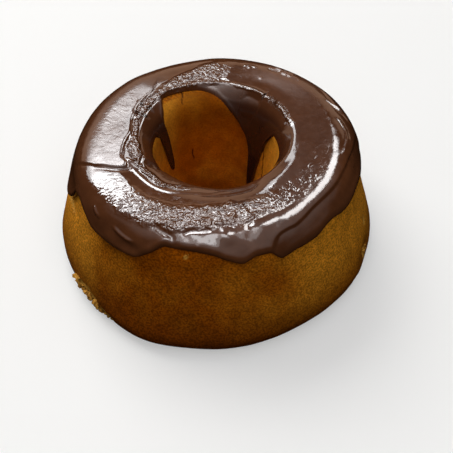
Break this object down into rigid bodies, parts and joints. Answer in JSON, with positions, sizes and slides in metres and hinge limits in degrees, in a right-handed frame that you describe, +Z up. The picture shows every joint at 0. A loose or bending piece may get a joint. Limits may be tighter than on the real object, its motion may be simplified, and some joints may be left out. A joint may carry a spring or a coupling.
{
  "type": "ring cake with chocolate icing",
  "caption": "Plain ring cake with a tapered hole through its middle, its top covered by poured chocolate icing that runs down in drips.",
  "frame": {"origin": "middle of the base, on the surface that the cake stands on", "axes": "+Z up through the hole; -Y is the front, the side that the picture shows"},
  "size_m": [0.1963, 0.1956, 0.0806],
  "materials": {
    "crust": "golden brown baked crust, matt, with a fine crumb",
    "icing": "glossy milk chocolate icing, crinkled in places"
  },
  "bodies": {
    "root": {"cake": "crust", "icing": "icing"}
  },
  "joints": []
}
